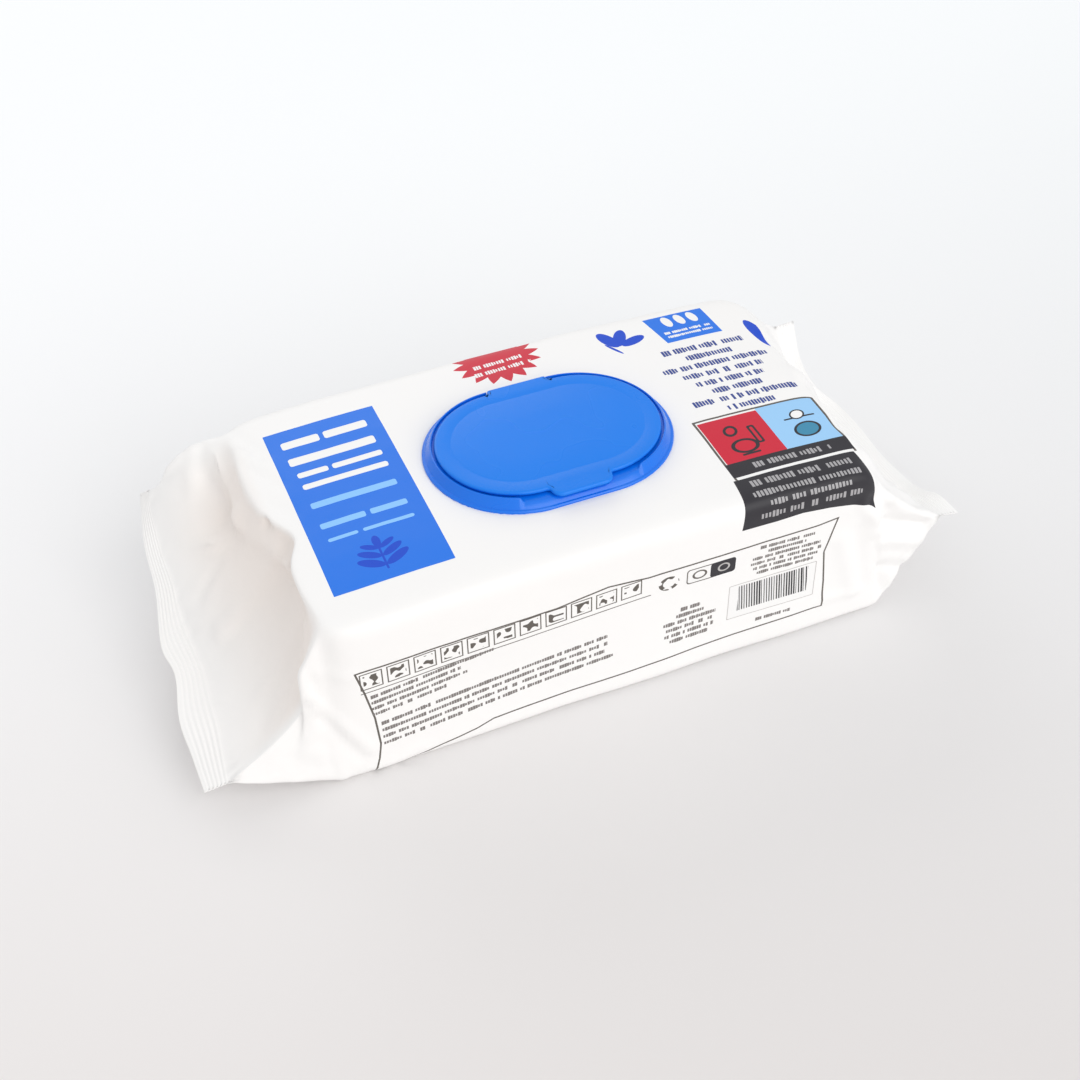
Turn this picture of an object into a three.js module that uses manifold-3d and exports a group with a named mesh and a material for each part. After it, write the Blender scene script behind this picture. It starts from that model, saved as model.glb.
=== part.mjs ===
// A wet wipes pack: a sealed film flow-wrap full of folded wipes, with a
// moulded flip-top lid glued on its top. Millimetres, +Z up. The origin is the
// middle of the flat underside, the pack's length runs along X, and the lid's
// thumb tab faces -Y.

import * as THREE from 'three';
import { mergeVertices } from 'three/addons/utils/BufferGeometryUtils.js';
import Module from 'manifold-3d';

const wasm = await Module();
wasm.setup();

// --- driving dimensions ----------------------------------------------------

// The stack of wipes in its film, without the sealed ends.
const PACK_HALF_LENGTH = 97;
const PACK_HALF_WIDTH = 55.7;
const PACK_HEIGHT = 68.8;
const EDGE_RADIUS = 9;
const CROWN_DROP_ENDS = 2.6;
const CROWN_DROP_SIDES = 1.2;

// The two crimped end seals, which stand out at about half height.
const SEAL_INNER_X = 125;
const SEAL_OUTER_X = 137;
const SEAL_HALF_WIDTH = 55;
const SEAL_THICKNESS = 1.6;
const LEFT_SEAL = { height: 27, slope: 0.17, shift: 4 };
const RIGHT_SEAL = { height: 36, slope: 0.12, shift: 4 };

// The lid's place on the pack, and the flat in the film that it is glued on.
const LID_CENTRE = new THREE.Vector2(-3.2, -2.4);
const FILM_UNDER_LID = 66.6;
const DENT_FULL_REACH = 9.5;
const DENT_EDGE_REACH = 17;
const GLUE_GAP = 0.3;

// The moulded frame: two half rounds joined by short straight sides.
const HALF_STRAIGHT = 10.7;
const FRAME_RADIUS = 31;
const FRAME_BASE = FILM_UNDER_LID + GLUE_GAP;
const FLANGE_TOP = 69.2;
const FLANGE_WIDTH = 0.9;
const CREST_TOP = 72.4;
const CREST_WIDTH = 0.5;
const WALL = 1.1;
const LEDGE_TOP = 71.2;
const WELL_RADIUS = 21.5;

// The flip cover, which lies on the frame's ledge inside the crest.
const COVER_HALF_STRAIGHT = 11.6;
const COVER_RADIUS = 26;
const COVER_BASE = 71.55;
const COVER_TOP = 73;
const COVER_EDGE_ROUND = 0.8;
const GROOVE = 0.9;
const BEAD_RADIUS = 20.9;
const BEAD_WIDTH = 1;
const BEAD_DEPTH = 1.1;

// The thumb tab on the cover's front, and the finger space in the rim there.
const TAB_HALF_WIDTH = 10.3;
const TAB_REACH = 30.4;
const TAB_CORNER = 3.2;
const TAB_STEP = 0.12;
const FINGER_SPACE_HALF_WIDTH = 20;
const FINGER_SPACE_FLOOR = 71;

// The live hinge along the back of the frame. Its thin web is left open here,
// and the cover turns about a line HINGE_Y behind the lid's centre.
const HINGE_HALF_WIDTH = 10.6;
const HINGE_Y = 28.4;
const HINGE_WALL = 1.3;
const HINGE_CLEARANCE = 0.35;

// The peel seal over the dispensing cut, inside the frame's well.
const PEEL_HALF_LENGTH = 26.5;
const PEEL_HALF_WIDTH = 16;
const PEEL_CORNER = 8;
const PEEL_THICKNESS = 0.25;
const PEEL_TAB_LENGTH = 5;
const PEEL_TAB_HALF_WIDTH = 6;

// Steps round a full turn of the lid's outlines, and along and across the film.
const RING_STEPS = 72;
const FILM_STEPS = { along: 40, across: 16, up: 6 };

// --- materials ---------------------------------------------------------------

const film = new THREE.MeshStandardMaterial({ color: 0xf7f6f4, roughness: 0.45, metalness: 0 });
const bluePlastic = new THREE.MeshStandardMaterial({ color: 0x2f80ea, roughness: 0.32, metalness: 0 });
const labelFilm = new THREE.MeshStandardMaterial({ color: 0xe9edf2, roughness: 0.3, metalness: 0 });

// --- helpers -----------------------------------------------------------------

const clamp = THREE.MathUtils.clamp;
const lerp = THREE.MathUtils.lerp;
const smoothstep = THREE.MathUtils.smoothstep;

function toSolid(geometry) {
  const bare = geometry.clone();
  bare.deleteAttribute('normal');
  bare.deleteAttribute('uv');
  const merged = mergeVertices(bare, 1e-4);
  const corners = merged.index.array;
  const kept = [];
  for (let i = 0; i < corners.length; i += 3) {
    const [a, b, c] = [corners[i], corners[i + 1], corners[i + 2]];
    if (a !== b && b !== c && c !== a) kept.push(a, b, c);
  }
  return new wasm.Manifold(new wasm.Mesh({
    numProp: 3,
    vertProperties: new Float32Array(merged.attributes.position.array),
    triVerts: new Uint32Array(kept),
  }));
}

function fromSolid(solid) {
  const mesh = solid.getMesh();
  const geometry = new THREE.BufferGeometry();
  geometry.setAttribute('position', new THREE.BufferAttribute(mesh.vertProperties, 3));
  geometry.setIndex(new THREE.BufferAttribute(mesh.triVerts, 1));
  geometry.computeVertexNormals();
  return geometry;
}

// Turns a profile of [radius, height] about Z, then pulls the two halves apart
// along X, so that the round becomes a stadium with straight sides.
function stadiumTurn(profile, halfStraight) {
  const points = profile.map(([radius, height]) => new THREE.Vector2(radius, height));
  const turned = new THREE.LatheGeometry(points, RING_STEPS);
  turned.rotateX(Math.PI / 2);
  const quarter = Math.PI / 2;
  const step = (2 * Math.PI) / RING_STEPS;
  const position = turned.attributes.position;
  for (let i = 0; i < position.count; i += 1) {
    const angle = Math.atan2(position.getX(i), -position.getY(i));
    const radius = Math.hypot(position.getX(i), position.getY(i));
    const fromEnd = Math.abs(angle) - quarter;
    const turn = clamp((fromEnd * quarter) / (quarter - step), -quarter, quarter);
    const onStraightMiddle = Math.abs(Math.abs(fromEnd) - quarter) < step / 2;
    const side = onStraightMiddle ? 0 : Math.sign(angle);
    position.setX(i, side * (halfStraight + radius * Math.cos(turn)));
    position.setY(i, radius * Math.sin(turn));
  }
  return toSolid(turned);
}

function block(x0, x1, y0, y1, z0, z1) {
  const box = new THREE.BoxGeometry(x1 - x0, y1 - y0, z1 - z0);
  box.translate((x0 + x1) / 2, (y0 + y1) / 2, (z0 + z1) / 2);
  return toSolid(box);
}

function plate(shape, z0, z1) {
  const slab = new THREE.ExtrudeGeometry(shape, { depth: z1 - z0, bevelEnabled: false, curveSegments: 8 });
  slab.translate(0, 0, z0);
  return toSolid(slab);
}

// --- the film pack -----------------------------------------------------------

// The film's section at a place along the pack: its half width, its lowest and
// highest lines, its edge radius, and how it leans over into the end seal.
function sectionAt(x) {
  const seal = x < 0 ? LEFT_SEAL : RIGHT_SEAL;
  const reach = Math.abs(x);
  const t = smoothstep(reach, PACK_HALF_LENGTH - 6, SEAL_INNER_X);
  const away = clamp((reach - PACK_HALF_LENGTH + 6) / (SEAL_INNER_X - PACK_HALF_LENGTH + 6), 0, 1);
  const closing = lerp(t, away, 0.5);
  const crown = CROWN_DROP_ENDS * (clamp(reach / PACK_HALF_LENGTH, 0, 1) ** 2);
  const top = PACK_HEIGHT - crown;
  return {
    halfWidth: lerp(PACK_HALF_WIDTH, SEAL_HALF_WIDTH, closing),
    shift: seal.shift * closing,
    slope: seal.slope * closing,
    low: lerp(0, seal.height - SEAL_THICKNESS / 2, closing),
    high: lerp(top, seal.height + SEAL_THICKNESS / 2, closing),
    radius: lerp(EDGE_RADIUS, SEAL_THICKNESS / 2 - 0.05, closing),
    crown: lerp(CROWN_DROP_SIDES, 0, closing),
  };
}

// The lid presses the soft top down to a shallow flat that is wider than it is.
function pressedByLid(x, y, height) {
  const fromSpine = Math.max(Math.abs(x - LID_CENTRE.x) - HALF_STRAIGHT, 0);
  const outside = Math.hypot(fromSpine, y - LID_CENTRE.y) - FRAME_RADIUS;
  const free = smoothstep(outside, DENT_FULL_REACH, DENT_EDGE_REACH);
  return lerp(Math.min(height, FILM_UNDER_LID), height, free);
}

// Stations bunch up over the sloping ends and stay sparse along the block.
function stationAt(u) {
  const middle = 0.55;
  const reach = Math.abs(u);
  const blockEnd = PACK_HALF_LENGTH - 6;
  const x = reach < middle
    ? (reach / middle) * blockEnd
    : lerp(blockEnd, SEAL_OUTER_X, (reach - middle) / (1 - middle));
  return Math.sign(u) * x;
}

function buildFilmPack() {
  const geometry = new THREE.BoxGeometry(2, 2, 2, FILM_STEPS.along, FILM_STEPS.across, FILM_STEPS.up);
  const position = geometry.attributes.position;
  for (let i = 0; i < position.count; i += 1) {
    const x = stationAt(position.getX(i));
    const section = sectionAt(x);
    const halfHeight = (section.high - section.low) / 2;
    const y = position.getY(i) * section.halfWidth;
    const z = position.getZ(i) * halfHeight;
    const coreY = clamp(y, section.radius - section.halfWidth, section.halfWidth - section.radius);
    const coreZ = clamp(z, section.radius - halfHeight, halfHeight - section.radius);
    const outY = y - coreY;
    const outZ = z - coreZ;
    const rounding = Math.max(Math.abs(outY), Math.abs(outZ)) / (Math.hypot(outY, outZ) || 1);
    const roundY = coreY + outY * rounding;
    const roundZ = coreZ + outZ * rounding;
    const sideways = (roundY / section.halfWidth) ** 2;
    const upper = clamp(roundZ / halfHeight, 0, 1);
    const level = (section.high + section.low) / 2 + section.slope * roundY;
    const free = level + roundZ - section.crown * sideways * upper;
    position.setXYZ(i, x, roundY + section.shift, pressedByLid(x, roundY, free));
  }
  return toSolid(geometry);
}

// --- the lid frame -----------------------------------------------------------

// One moulded wall: a flange on the film, a slope up to a crest, a groove, a
// ledge under the cover, and the wall of the well. It is open underneath.
function buildLidFrame() {
  const grooveRadius = COVER_RADIUS + COVER_HALF_STRAIGHT - HALF_STRAIGHT + GROOVE;
  const crestRadius = grooveRadius + CREST_WIDTH;
  const slopeFoot = FRAME_RADIUS - FLANGE_WIDTH;
  const underTop = LEDGE_TOP - 1.7 * WALL;
  const ring = stadiumTurn([
    [FRAME_RADIUS, FRAME_BASE],
    [FRAME_RADIUS, FLANGE_TOP - 0.4],
    [FRAME_RADIUS - 0.3, FLANGE_TOP],
    [slopeFoot, FLANGE_TOP],
    [crestRadius, CREST_TOP - 0.2],
    [crestRadius - CREST_WIDTH / 2, CREST_TOP],
    [grooveRadius, CREST_TOP - 0.2],
    [grooveRadius, LEDGE_TOP],
    [WELL_RADIUS, LEDGE_TOP],
    [WELL_RADIUS, FRAME_BASE],
    [WELL_RADIUS + WALL, FRAME_BASE],
    [WELL_RADIUS + WALL, underTop],
    [crestRadius - WALL, underTop],
    [slopeFoot - WALL, FRAME_BASE + WALL],
    [slopeFoot - WALL, FRAME_BASE],
    [FRAME_RADIUS, FRAME_BASE],
  ], HALF_STRAIGHT);
  const fingerSpace = block(
    -FINGER_SPACE_HALF_WIDTH, FINGER_SPACE_HALF_WIDTH,
    -FRAME_RADIUS - 1, -COVER_RADIUS + 2.4,
    FINGER_SPACE_FLOOR, COVER_TOP,
  );
  const hingeSpace = block(
    -HINGE_HALF_WIDTH - HINGE_CLEARANCE, HINGE_HALF_WIDTH + HINGE_CLEARANCE,
    COVER_RADIUS - 2, FRAME_RADIUS + 1,
    COVER_BASE - HINGE_CLEARANCE, COVER_TOP,
  );
  const hingeWall = block(
    -HINGE_HALF_WIDTH, HINGE_HALF_WIDTH,
    HINGE_Y - 0.1 - HINGE_WALL, HINGE_Y - 0.1,
    FRAME_BASE + 0.2, COVER_BASE - HINGE_CLEARANCE,
  );
  return ring.subtract(fingerSpace).subtract(hingeSpace).add(hingeWall);
}

// --- the flip cover ----------------------------------------------------------

function tabShape() {
  const shape = new THREE.Shape();
  const root = -COVER_RADIUS + 1.5;
  const tip = -TAB_REACH;
  const flare = 1.2;
  shape.moveTo(-TAB_HALF_WIDTH, root);
  shape.lineTo(-TAB_HALF_WIDTH, tip + TAB_CORNER + flare);
  shape.quadraticCurveTo(-TAB_HALF_WIDTH, tip, -TAB_HALF_WIDTH + TAB_CORNER + flare, tip);
  shape.lineTo(TAB_HALF_WIDTH - TAB_CORNER - flare, tip);
  shape.quadraticCurveTo(TAB_HALF_WIDTH, tip, TAB_HALF_WIDTH, tip + TAB_CORNER + flare);
  shape.lineTo(TAB_HALF_WIDTH, root);
  return shape;
}

function buildLidCover() {
  const round = COVER_EDGE_ROUND;
  const diagonal = round * (1 - Math.SQRT1_2);
  const plateBody = stadiumTurn([
    [0, COVER_BASE],
    [COVER_RADIUS, COVER_BASE],
    [COVER_RADIUS, COVER_TOP - round],
    [COVER_RADIUS - diagonal, COVER_TOP - diagonal],
    [COVER_RADIUS - round, COVER_TOP],
    [0, COVER_TOP],
  ], COVER_HALF_STRAIGHT);
  const bead = stadiumTurn([
    [BEAD_RADIUS - BEAD_WIDTH, COVER_BASE - BEAD_DEPTH],
    [BEAD_RADIUS, COVER_BASE - BEAD_DEPTH],
    [BEAD_RADIUS, COVER_BASE + 0.3],
    [BEAD_RADIUS - BEAD_WIDTH, COVER_BASE + 0.3],
    [BEAD_RADIUS - BEAD_WIDTH, COVER_BASE - BEAD_DEPTH],
  ], HALF_STRAIGHT);
  const tab = plate(tabShape(), COVER_BASE + TAB_STEP, COVER_TOP - TAB_STEP);
  const hingeStrip = block(
    -HINGE_HALF_WIDTH, HINGE_HALF_WIDTH,
    COVER_RADIUS - 2, HINGE_Y - 0.1,
    COVER_BASE + TAB_STEP, COVER_TOP - TAB_STEP,
  );
  return plateBody.add(bead).add(tab).add(hingeStrip);
}

// --- the peel seal -----------------------------------------------------------

function buildPeelSeal() {
  const length = PEEL_HALF_LENGTH;
  const width = PEEL_HALF_WIDTH;
  const shape = new THREE.Shape();
  shape.moveTo(-length + PEEL_CORNER, -width);
  shape.lineTo(length - PEEL_CORNER, -width);
  shape.absarc(length - PEEL_CORNER, -width + PEEL_CORNER, PEEL_CORNER, -Math.PI / 2, 0);
  shape.lineTo(length, -PEEL_TAB_HALF_WIDTH);
  shape.quadraticCurveTo(length + PEEL_TAB_LENGTH, -PEEL_TAB_HALF_WIDTH, length + PEEL_TAB_LENGTH, 0);
  shape.quadraticCurveTo(length + PEEL_TAB_LENGTH, PEEL_TAB_HALF_WIDTH, length, PEEL_TAB_HALF_WIDTH);
  shape.lineTo(length, width - PEEL_CORNER);
  shape.absarc(length - PEEL_CORNER, width - PEEL_CORNER, PEEL_CORNER, 0, Math.PI / 2);
  shape.lineTo(-length + PEEL_CORNER, width);
  shape.absarc(-length + PEEL_CORNER, width - PEEL_CORNER, PEEL_CORNER, Math.PI / 2, Math.PI);
  shape.lineTo(-length, -width + PEEL_CORNER);
  shape.absarc(-length + PEEL_CORNER, -width + PEEL_CORNER, PEEL_CORNER, Math.PI, Math.PI * 1.5);
  return plate(shape, FRAME_BASE, FRAME_BASE + PEEL_THICKNESS);
}

// --- the assembly ------------------------------------------------------------

function piece(name, solid, material) {
  const mesh = new THREE.Mesh(fromSolid(solid), material);
  mesh.name = name;
  return mesh;
}

const pack = new THREE.Group();
const lid = new THREE.Group();
lid.position.set(LID_CENTRE.x, LID_CENTRE.y, 0);
lid.add(piece('lid_frame', buildLidFrame(), bluePlastic));
lid.add(piece('lid_cover', buildLidCover(), bluePlastic));
lid.add(piece('peel_seal', buildPeelSeal(), labelFilm));
pack.add(piece('film_pack', buildFilmPack(), film));
pack.add(lid);

export default pack;
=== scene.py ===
import math

import bmesh
import bpy
import numpy as np
from mathutils import Euler, Matrix, Vector, noise


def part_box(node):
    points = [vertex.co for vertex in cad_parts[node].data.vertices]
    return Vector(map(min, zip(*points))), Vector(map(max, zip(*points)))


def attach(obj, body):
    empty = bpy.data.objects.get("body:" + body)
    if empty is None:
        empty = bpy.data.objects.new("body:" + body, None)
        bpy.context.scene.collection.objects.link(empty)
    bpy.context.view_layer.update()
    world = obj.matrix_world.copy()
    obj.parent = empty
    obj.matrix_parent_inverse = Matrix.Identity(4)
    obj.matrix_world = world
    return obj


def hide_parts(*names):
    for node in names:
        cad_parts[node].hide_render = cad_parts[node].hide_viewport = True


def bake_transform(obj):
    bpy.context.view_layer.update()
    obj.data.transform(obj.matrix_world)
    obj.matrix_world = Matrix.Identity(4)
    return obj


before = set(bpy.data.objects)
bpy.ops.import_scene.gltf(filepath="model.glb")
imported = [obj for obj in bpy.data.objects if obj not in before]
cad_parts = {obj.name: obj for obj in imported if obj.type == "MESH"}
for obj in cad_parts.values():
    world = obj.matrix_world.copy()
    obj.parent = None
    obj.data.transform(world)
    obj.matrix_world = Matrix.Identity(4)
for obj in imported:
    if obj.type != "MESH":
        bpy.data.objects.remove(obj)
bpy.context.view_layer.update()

# ------------------------------------------------------------------ camera
# A short telephoto view from the front left and well above, as a pack on a
# table is looked down on. It aims at the pack's middle, with a slight roll.

pack_low, pack_high = (Vector(corner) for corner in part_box("film_pack"))
pack_middle = Vector((0, 0, (pack_low.z + pack_high.z) / 2))
view_turn = math.radians(-21.69)
view_height = math.radians(42.62)
view_roll = math.radians(-1.39)
view_distance = 0.506
aim = pack_middle + Vector((-0.010, -0.010, 0))
towards_camera = Vector((
    math.sin(view_turn) * math.cos(view_height),
    -math.cos(view_turn) * math.cos(view_height),
    math.sin(view_height),
))
lens = bpy.data.cameras.new("camera")
lens.sensor_width = 36
lens.lens = 50.26
lens.clip_start = 0.01
lens.clip_end = 20
camera = bpy.data.objects.new("camera", lens)
camera.location = aim + towards_camera * view_distance
upright = Euler((math.pi / 2 - view_height, 0, view_turn)).to_matrix()
camera.rotation_euler = (upright @ Matrix.Rotation(view_roll, 3, "Z")).to_euler()
bpy.context.scene.collection.objects.link(camera)
bpy.context.scene.camera = camera

# ------------------------------------------------------------------ floor and light
# A plain pale table top that runs out of view, matt, with painted light in its
# colour: brighter at the back, darker in front and warmer at the front left. It is
# lit by a wide soft window in front and a smaller one behind, with a pale room round it.


class Field:
    """One value or colour in a finish: arithmetic on it adds the nodes for it."""

    def __init__(self, finish, socket):
        self.finish = finish
        self.socket = socket

    def math(self, operation, *others):
        return self.finish.node("ShaderNodeMath", {"operation": operation}, (self, *others))

    def __add__(self, other):
        return self.math("ADD", other)

    def __mul__(self, other):
        return self.math("MULTIPLY", other)

    def __sub__(self, other):
        return self.math("SUBTRACT", other)

    def __rsub__(self, other):
        return self.finish.node("ShaderNodeMath", {"operation": "SUBTRACT"}, (other, self))

    def __truediv__(self, other):
        return self.math("DIVIDE", other)

    def __pow__(self, other):
        return self.math("POWER", other)

    def __lt__(self, other):
        return self.math("LESS_THAN", other)

    def __gt__(self, other):
        return self.math("GREATER_THAN", other)

    def __abs__(self):
        return self.math("ABSOLUTE")

    __radd__ = __add__
    __rmul__ = __mul__

    def between(self, low, high):
        return (self > low) * (self < high)

    def ramp(self, start, end):
        """0 before start, 1 after end, and smooth in between."""
        settings = {"interpolation_type": "SMOOTHSTEP"}
        return self.finish.node("ShaderNodeMapRange", settings, (self, start, end, 0.0, 1.0))


class Finish:
    """A procedural material, built up from one shader and the fields that feed it."""

    def __init__(self, name, **uniform):
        self.material = bpy.data.materials.new(name)
        self.material.use_nodes = True
        self.tree = self.material.node_tree
        self.tree.nodes.clear()
        self.shader = self.tree.nodes.new("ShaderNodeBsdfPrincipled")
        output = self.tree.nodes.new("ShaderNodeOutputMaterial")
        self.tree.links.new(self.shader.outputs[0], output.inputs["Surface"])
        for socket_name, value in uniform.items():
            self.shader.inputs[socket_name.replace("_", " ")].default_value = value

    def node(self, kind, settings=None, inputs=(), output=0):
        made = self.tree.nodes.new(kind)
        for name, value in (settings or {}).items():
            if name in ("stops", "interpolation"):
                self.set_ramp(made.color_ramp, name, value)
            else:
                setattr(made, name, value)
        pairs = inputs.items() if isinstance(inputs, dict) else enumerate(inputs)
        for key, value in pairs:
            self.feed(made.inputs[key], value)
        return Field(self, made.outputs[output])

    def set_ramp(self, ramp, name, value):
        if name == "interpolation":
            ramp.interpolation = value
            return
        while len(ramp.elements) < len(value):
            ramp.elements.new(1.0)
        for element, (position, level) in zip(ramp.elements, value):
            element.position = position
            element.color = (level, level, level, 1)

    def feed(self, socket, value):
        if isinstance(value, Field):
            self.tree.links.new(value.socket, socket)
        elif socket.type == "RGBA" and len(value) == 3:
            socket.default_value = (*value, 1)
        else:
            socket.default_value = value

    def set(self, socket_name, value):
        self.feed(self.shader.inputs[socket_name], value)

    def mix(self, mask, below, above):
        settings = {"data_type": "RGBA"}
        return self.node("ShaderNodeMix", settings, {0: mask, 6: below, 7: above}, output=2)

    def grain(self, scale, detail=2.0, roughness=0.5, where=None):
        inputs = {"Scale": scale, "Detail": detail, "Roughness": roughness}
        inputs["Vector"] = where or self.place()
        return self.node("ShaderNodeTexNoise", {}, inputs)

    def place(self):
        return self.node("ShaderNodeTexCoord", {}, (), output="Object")

    def split(self, vector):
        return [self.node("ShaderNodeSeparateXYZ", {}, (vector,), output=i) for i in range(3)]

    def bump(self, height, distance, strength=1.0):
        inputs = {"Height": height, "Distance": distance, "Strength": strength}
        self.set("Normal", self.node("ShaderNodeBump", {}, inputs))


def srgb(red, green, blue):
    """A colour given as 0 to 255 on a screen, as linear light."""
    shares = (c / 255 for c in (red, green, blue))
    return tuple(s / 12.92 if s <= 0.04045 else ((s + 0.055) / 1.055) ** 2.4 for s in shares)


def add_piece(name, mesh, material):
    piece = bpy.data.objects.new(name, mesh)
    bpy.context.scene.collection.objects.link(piece)
    mesh.materials.append(material)
    return piece


table_half_size = 4
table_mesh = bpy.data.meshes.new("table")
table_form = bmesh.new()
bmesh.ops.create_grid(table_form, x_segments=8, y_segments=8, size=table_half_size)
table_form.to_mesh(table_mesh)
table_form.free()
table_paint = Finish("table_paint", Roughness=0.9)
table_x, table_y, _ = table_paint.split(table_paint.place())
# Painted light: the table's colour is lighter towards the back and the right, and darker and warmer
# in front.
painted_light_farther = (table_y - table_x * 0.15).ramp(-0.45, 0.38)
painted_light_rightwards = (table_x * 0.93 + table_y * 0.37).ramp(-0.4, 0.45)
near_painted_shade = table_paint.mix(painted_light_rightwards, srgb(220, 212, 208), srgb(222, 221, 222))
far_painted_light = table_paint.mix(painted_light_rightwards, srgb(254, 254, 255), srgb(252, 254, 255))
table_paint.set("Base Color", table_paint.mix(painted_light_farther, near_painted_shade, far_painted_light))
table = add_piece("table", table_mesh, table_paint.material)

room = bpy.data.worlds.new("room")
room.use_nodes = True
room.node_tree.nodes["Background"].inputs[0].default_value = (0.982, 0.99, 1.0, 1)
room.node_tree.nodes["Background"].inputs[1].default_value = 0.71
bpy.context.scene.world = room


def soft_light(name, place, size, power, tint):
    lamp = bpy.data.lights.new(name, "AREA")
    lamp.shape = "RECTANGLE"
    lamp.size, lamp.size_y = size
    lamp.energy = power
    lamp.color = tint
    holder = bpy.data.objects.new(name, lamp)
    holder.location = place
    holder.rotation_euler = (Vector(place) - pack_middle).to_track_quat("Z", "Y").to_euler()
    bpy.context.scene.collection.objects.link(holder)


soft_light("window", (0.75, -2.3, 1.75), (2.8, 2.8), 44, (1.0, 0.995, 0.985))
soft_light("back_window", (-0.35, 2.0, 1.1), (2.4, 1.2), 10.5, (0.985, 0.99, 1.0))
bpy.context.scene.view_settings.view_transform = "Standard"

# ------------------------------------------------------------------ film pack
# White polyethylene film wrapped round a stack of folded wipes, and crimped
# shut at both ends. The film is looser than the stack, so it falls in folds
# from the stack's ends to the two crimped seals, which bend as they please.

MM = 0.001
half_length = 97.0
half_width = 55.7
stack_height = 68.8
lid_low, lid_high = (np.array(corner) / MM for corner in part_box("lid_frame"))
lid_centre = (lid_low + lid_high) / 2
lid_radius = (lid_high[1] - lid_low[1]) / 2
lid_straight = (lid_high[0] - lid_low[0]) / 2 - lid_radius
film_under_lid = lid_low[2] - 0.3
seal_film_gap = 0.5

# Each end of the film, as lines that run from the stack's edge down to the
# crimp: the first line is at the front of the pack, the last one at its back.
left_end = [
    [(-95, -51, 65), (-103, -51.5, 51), (-103, -50.5, 36), (-114, -51, 24), (-130, -52, 14)],
    [(-95.5, -44, 66.4), (-100, -45, 50), (-104.5, -45, 35), (-114, -44, 23), (-129, -44, 15)],
    [(-97, -34, 66.4), (-94, -35, 54), (-100, -35, 38), (-111, -34, 25), (-127.5, -31, 16.5)],
    [(-96.5, -22, 66.6), (-92, -24, 56), (-97, -24, 41), (-110, -23, 27), (-127, -20, 18.5)],
    [(-91.5, -11, 66.8), (-91, -12, 58), (-97, -12, 43), (-111, -11, 30), (-126.5, -9, 20)],
    [(-97, 0, 66.8), (-97, 0, 58), (-104, 0, 44), (-116, 1, 32), (-127.5, 3, 23)],
    [(-99, 11, 66.8), (-101.5, 11, 56), (-107, 12, 44), (-117, 12, 35), (-128, 14, 26)],
    [(-99.5, 22, 66.8), (-101.5, 23, 56), (-107, 24, 46), (-117, 24, 39), (-127.5, 23, 30)],
    [(-98.7, 34, 66.5), (-101.5, 34.5, 58), (-108, 35, 51), (-118, 35, 45), (-128, 34, 34.5)],
    [(-97.8, 45, 66), (-102, 45.5, 60.5), (-109, 46, 58.5), (-118, 46, 53), (-127.5, 46, 42)],
    [(-97, 51.6, 64.5), (-109.5, 52.5, 62.5), (-118.5, 52.5, 56.5), (-123, 52, 49), (-127, 54, 46)],
]
right_end = [
    [(91, -54.5, 58), (97, -53.5, 50), (105, -52, 42), (113, -50.5, 35), (122, -49.5, 30)],
    [(89.5, -40, 65.6), (96, -40, 55), (104, -39, 43), (112, -38, 34), (121.5, -36, 26)],
    [(89.5, -26, 66.4), (97, -26, 55), (105, -25, 43), (112, -24, 33), (121, -22, 24)],
    [(89.2, -12, 66.8), (97, -11, 55), (105, -9, 43), (112, -6, 33), (120.5, -3, 23.5)],
    [(90, 4, 67), (98, 6, 55), (105, 8, 43), (112, 11, 33), (120, 14, 23)],
    [(91.5, 20, 66.8), (98, 22, 57), (105, 24, 46), (112, 27, 36), (120, 30, 25)],
    [(93.5, 34, 66.4), (99, 36, 60), (105, 38, 51), (110, 40, 41), (115.5, 43, 31)],
    [(94, 49, 65), (98, 51, 60), (104, 53, 53.5), (110, 55.5, 47.5), (116.5, 58, 41.5)],
]
# The outer edges of the two crimped seals, from front to back.
left_seal = [
    (-138, -51, 12), (-138.4, -37, 13.5), (-138.8, -23, 15.5), (-136, -8, 20),
    (-137.4, 4, 22.5), (-134, 24, 28), (-133, 41, 35), (-129.5, 57, 43),
]
right_seal = [
    (131, -48, 27), (129.8, -38, 27.5), (129.5, -28, 22.5), (130.4, -16, 19.6), (129.8, -2, 19.3),
    (131, 14, 19.3), (130.6, 28, 19.6), (124.5, 38, 25), (124.5, 50, 30), (127.3, 62, 38.8),
]


def through(points, steps):
    """Points on a smooth line through the given ones, at steps from 0 to 1."""
    points = np.asarray(points, float)
    padded = np.concatenate([[2 * points[0] - points[1]], points, [2 * points[-1] - points[-2]]])
    at = np.asarray(steps) * (len(points) - 1)
    first = np.minimum(at.astype(int), len(points) - 2)
    t = (at - first)[:, None]
    a, b, c, d = (padded[first + k] for k in range(4))
    bend = 2 * a - 5 * b + 4 * c - d
    twist = 3 * b - 3 * c + d - a
    return 0.5 * (2 * b + (c - a) * t + bend * t ** 2 + twist * t ** 3)


def smooth_between(value, start, end):
    share = np.clip((value - start) / (end - start), 0, 1)
    return share * share * (3 - 2 * share)


# Columns run round the film: up the front, back over the top, down the back
# and forward underneath. Their girth is measured from the top's front edge.
front_steps, top_steps, under_steps = 46, 76, 34
front_share = np.arange(front_steps) / front_steps
top_share = np.arange(top_steps) / top_steps
under_share = np.arange(under_steps) / under_steps
girth = np.concatenate([
    stack_height * (front_share - 1),
    2 * half_width * top_share,
    2 * half_width + stack_height * front_share,
    2 * half_width + stack_height + 2 * half_width * under_share,
])
girth_end = 4 * half_width + stack_height
columns = len(girth)


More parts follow.
